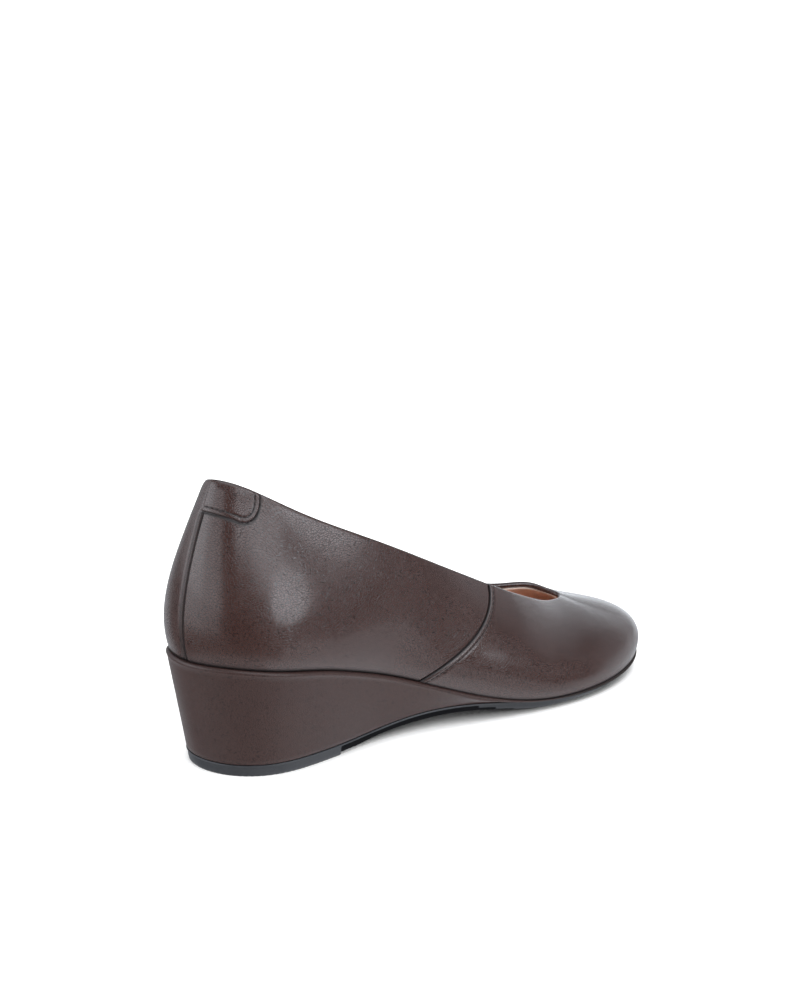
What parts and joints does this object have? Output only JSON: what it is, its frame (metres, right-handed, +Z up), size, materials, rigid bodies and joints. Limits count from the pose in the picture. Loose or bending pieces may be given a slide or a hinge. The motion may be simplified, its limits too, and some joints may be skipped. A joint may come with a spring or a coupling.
{
  "type": "wedge shoe",
  "caption": "Closed wedge pump for a right foot: hollow leather upper with an open collar and low-cut throat, on a covered wedge with a rubber outsole.",
  "frame": {"origin": "on the floor, under the middle of the shoe's box", "axes": "+X from the heel to the toe, +Y to the wearer's left, which is the inner side of this right shoe, +Z up"},
  "size_m": [0.2344, 0.078, 0.108],
  "materials": {
    "upper_leather": "smooth dark brown leather, semi-gloss, fine grain",
    "tab_leather": "smooth dark brown leather, semi-gloss, fine grain",
    "wedge_leather": "smooth dark brown leather, satin",
    "outsole_rubber": "matt black rubber",
    "sock_leather": "matt tan lining leather"
  },
  "bodies": {
    "root": {"upper": "upper_leather", "heel_tab": "tab_leather", "wedge": "wedge_leather", "outsole": "outsole_rubber", "sock": "sock_leather"}
  },
  "joints": []
}
